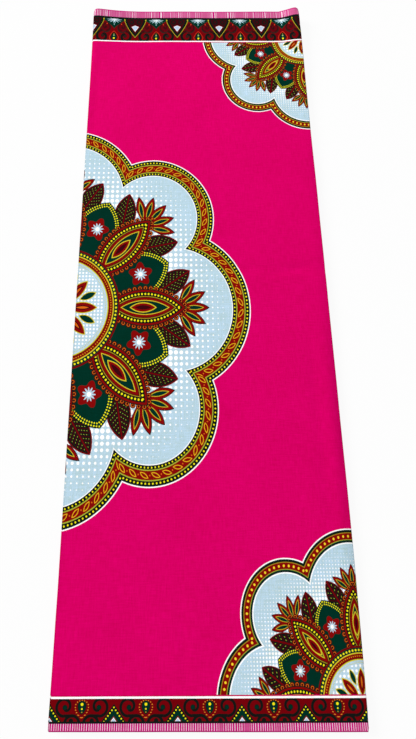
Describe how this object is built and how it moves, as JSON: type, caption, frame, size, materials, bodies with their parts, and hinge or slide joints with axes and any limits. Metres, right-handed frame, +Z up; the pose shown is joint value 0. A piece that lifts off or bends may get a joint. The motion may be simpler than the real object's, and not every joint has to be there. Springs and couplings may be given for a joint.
{
  "type": "folded ankara fabric",
  "caption": "Length of wax-printed cotton folded to and fro into a long flat pile, with rounded folds down its sides, layered selvedges at its ends and curled far corners.",
  "frame": {"origin": "under the middle of the pile, on the surface it lies on", "axes": "+Y along the folds, from the near selvedge to the far one; +X from the crisp left fold to the soft right fold; +Z up"},
  "size_m": [0.3904, 1.1681, 0.02],
  "materials": {
    "printed_cotton": "matt printed cotton, magenta with light-blue cartouches and a dark red border",
    "folded_cotton": "matt printed cotton, seen at its folds and selvedges",
    "under_cotton": "matt printed cotton"
  },
  "bodies": {
    "root": {"top_panel": "printed_cotton", "folded_layers": "folded_cotton", "bottom_panel": "under_cotton"}
  },
  "joints": []
}
